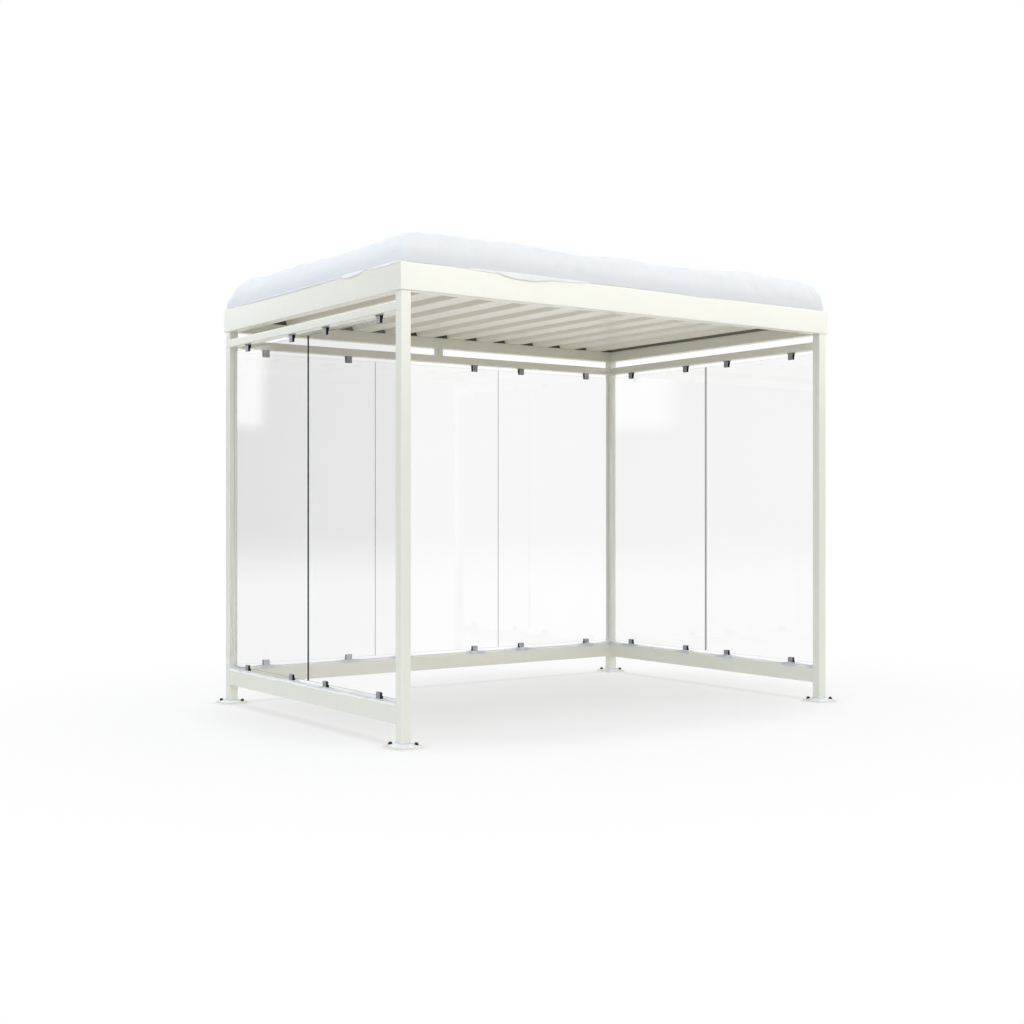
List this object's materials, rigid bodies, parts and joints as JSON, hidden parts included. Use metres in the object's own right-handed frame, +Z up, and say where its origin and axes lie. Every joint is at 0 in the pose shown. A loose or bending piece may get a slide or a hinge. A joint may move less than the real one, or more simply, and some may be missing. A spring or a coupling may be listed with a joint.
{
  "type": "smoking shelter",
  "caption": "Open-fronted smoking shelter: square tube frame on base plates, deep fascia, ribbed roof, clamped clear glass on the back and both sides, snow on the roof.",
  "frame": {"origin": "on the ground, under the middle of the shelter", "axes": "+X along the long side, -Y towards the open front, +Z up"},
  "size_m": [3.325, 2.295, 2.765],
  "materials": {
    "paint": "satin powder coat, off-white",
    "glass": "clear, polished edges",
    "clamp_metal": "satin grey cast metal",
    "snow": "settled snow"
  },
  "bodies": {
    "root": {"base_plate_front_left": "paint", "base_plate_front_right": "paint", "base_plate_back_left": "paint", "base_plate_back_right": "paint", "post_front_left": "paint", "post_front_right": "paint", "post_back_left": "paint", "post_back_right": "paint", "bottom_rail_left": "paint", "bottom_rail_back": "paint", "bottom_rail_right": "paint", "top_rail_left": "paint", "top_rail_back": "paint", "top_rail_right": "paint", "rail_hanger": "paint", "fascia_front": "paint", "fascia_back": "paint", "fascia_left": "paint", "fascia_right": "paint", "roof_sheet": "paint", "roof_snow": "snow", "glass_left_front": "glass", "glass_left_back": "glass", "glass_right_front": "glass", "glass_right_back": "glass", "glass_back_left": "glass", "glass_back_middle": "glass", "glass_back_right": "glass", "clamps_left_top": "clamp_metal", "clamps_left_bottom": "clamp_metal", "clamps_right_top": "clamp_metal", "clamps_right_bottom": "clamp_metal", "clamps_back_top": "clamp_metal", "clamps_back_bottom": "clamp_metal"}
  },
  "joints": []
}
